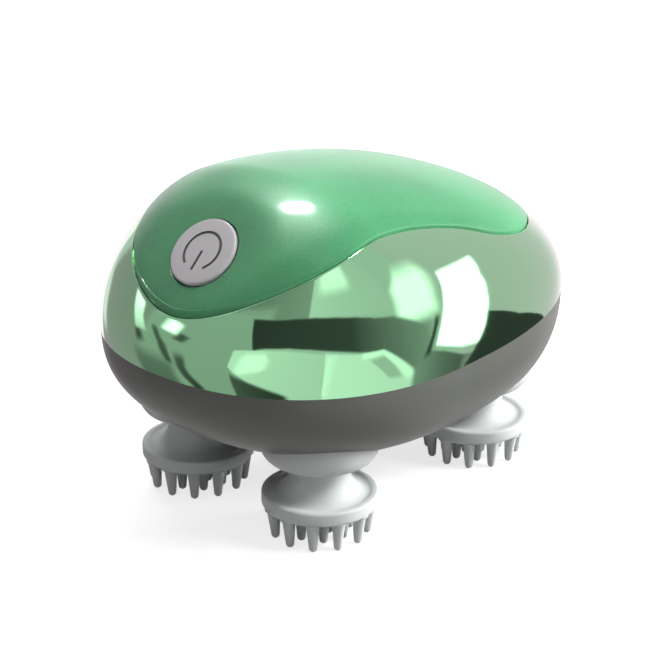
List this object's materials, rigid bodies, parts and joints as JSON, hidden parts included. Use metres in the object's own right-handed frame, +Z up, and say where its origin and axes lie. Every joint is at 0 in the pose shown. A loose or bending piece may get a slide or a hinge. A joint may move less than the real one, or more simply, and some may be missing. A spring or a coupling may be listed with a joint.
{
  "type": "electric scalp massager",
  "caption": "Egg-shaped handheld electric scalp massager standing on round silicone finger heads, with a pearl cover, plated band, matte underside and one round power button.",
  "frame": {"origin": "on the plane the finger tips stand on, below the middle of the body", "axes": "+Z up, -X towards the power button end, +Y across the body"},
  "size_m": [0.111, 0.085, 0.0746],
  "materials": {
    "green_cover": "satin pearl green, fine sparkle",
    "green_chrome": "mirror-bright pale green metallised plating",
    "dark_shell": "matte warm dark grey",
    "button_cap": "satin pale grey",
    "silicone_light": "matte pale grey silicone",
    "collar_grey": "satin pale grey",
    "seal_rubber": "matte black",
    "steel_pin": "ground",
    "screw_steel": "zinc plated",
    "gear_plastic": "natural acetal",
    "hub_plastic": "grey nylon",
    "frame_plastic": "grey moulded",
    "motor_steel": "drawn can",
    "motor_plastic": "black moulded",
    "brass": "turned",
    "cell_wrap": "shrink film",
    "board": "solder mask",
    "switch_body": "black moulded",
    "switch_stem": "white moulded",
    "socket_metal": "nickel plated"
  },
  "bodies": {
    "housing": {"lower_shell": "dark_shell", "plated_shell": "green_chrome", "top_cover": "green_cover", "shell_gasket": "seal_rubber", "shell_screws": "screw_steel", "button_seal": "seal_rubber", "button_board": "board", "board_screws": "screw_steel", "tact_switch": "switch_body", "collar_front_left": "collar_grey", "collar_front_right": "collar_grey", "collar_rear_left": "collar_grey", "collar_rear_right": "collar_grey", "seal_front_left": "seal_rubber", "seal_front_right": "seal_rubber", "seal_rear_left": "seal_rubber", "seal_rear_right": "seal_rubber", "gearbox_base": "frame_plastic", "gearbox_lid": "frame_plastic", "gearbox_screws": "screw_steel", "sun_arbor": "steel_pin", "second_arbor": "steel_pin", "first_arbor": "steel_pin", "motor_can": "motor_steel", "motor_cap": "motor_plastic", "motor_screws": "screw_steel", "battery_cell": "cell_wrap", "battery_cradle": "frame_plastic", "main_board": "board", "charge_board": "board", "charge_socket": "socket_metal", "flap_pin": "steel_pin"},
    "button": {"power_button": "button_cap", "switch_plunger": "switch_stem"},
    "sun": {"sun_gear": "gear_plastic"},
    "second": {"second_gear": "gear_plastic"},
    "first": {"first_gear": "gear_plastic"},
    "rotor": {"motor_shaft": "steel_pin", "motor_pinion": "brass"},
    "flap": {"port_flap": "dark_shell"},
    "massager_front_left": {"shaft_front_left": "steel_pin", "gear_front_left": "gear_plastic", "hub_front_left": "hub_plastic", "head_front_left": "silicone_light"},
    "massager_front_right": {"shaft_front_right": "steel_pin", "gear_front_right": "gear_plastic", "hub_front_right": "hub_plastic", "head_front_right": "silicone_light"},
    "massager_rear_left": {"shaft_rear_left": "steel_pin", "gear_rear_left": "gear_plastic", "hub_rear_left": "hub_plastic", "head_rear_left": "silicone_light"},
    "massager_rear_right": {"shaft_rear_right": "steel_pin", "gear_rear_right": "gear_plastic", "hub_rear_right": "hub_plastic", "head_rear_right": "silicone_light"}
  },
  "joints": [
    {"name": "button_press", "type": "slide", "parent": "housing", "child": "button", "axis": [0.6901, 0, -0.7238], "range_m": [0, 0.0006], "stiffness_N_per_m": 1500, "springref_m": -0.0003},
    {"name": "sun_spin", "type": "hinge", "parent": "housing", "child": "sun", "pos_m": [-0.0015, 0, 0.03], "axis": [0, 0, 1], "continuous": true},
    {"name": "second_spin", "type": "hinge", "parent": "housing", "child": "second", "pos_m": [-0.0015, 0.024, 0.03], "axis": [0, 0, 1], "continuous": true},
    {"name": "first_spin", "type": "hinge", "parent": "housing", "child": "first", "pos_m": [-0.01256, 0.01626, 0.03], "axis": [0, 0, 1], "continuous": true},
    {"name": "rotor_spin", "type": "hinge", "parent": "housing", "child": "rotor", "pos_m": [-0.0015, 0.00851, 0.03], "axis": [0, 0, 1], "continuous": true},
    {"name": "massager_front_left_spin", "type": "hinge", "parent": "housing", "child": "massager_front_left", "pos_m": [-0.02781, -0.01822, 0.03], "axis": [0, 0, 1], "continuous": true},
    {"name": "massager_front_right_spin", "type": "hinge", "parent": "housing", "child": "massager_front_right", "pos_m": [-0.02781, 0.01822, 0.03], "axis": [0, 0, 1], "continuous": true},
    {"name": "massager_rear_left_spin", "type": "hinge", "parent": "housing", "child": "massager_rear_left", "pos_m": [0.02481, -0.01822, 0.03], "axis": [0, 0, 1], "continuous": true},
    {"name": "massager_rear_right_spin", "type": "hinge", "parent": "housing", "child": "massager_rear_right", "pos_m": [0.02481, 0.01822, 0.03], "axis": [0, 0, 1], "continuous": true},
    {"name": "flap_hinge", "type": "hinge", "parent": "housing", "child": "flap", "pos_m": [0.05175, 0, 0.0293], "axis": [0, 1, 0], "range_deg": [0, 90]}
  ],
  "couplings": [
    {"joint": "second_spin", "follows": "sun_spin", "ratio": -4},
    {"joint": "first_spin", "follows": "sun_spin", "ratio": 14},
    {"joint": "rotor_spin", "follows": "sun_spin", "ratio": -61.6},
    {"joint": "massager_front_left_spin", "follows": "sun_spin", "ratio": -1.5},
    {"joint": "massager_front_right_spin", "follows": "sun_spin", "ratio": -1.5},
    {"joint": "massager_rear_left_spin", "follows": "sun_spin", "ratio": -1.5},
    {"joint": "massager_rear_right_spin", "follows": "sun_spin", "ratio": -1.5}
  ]
}
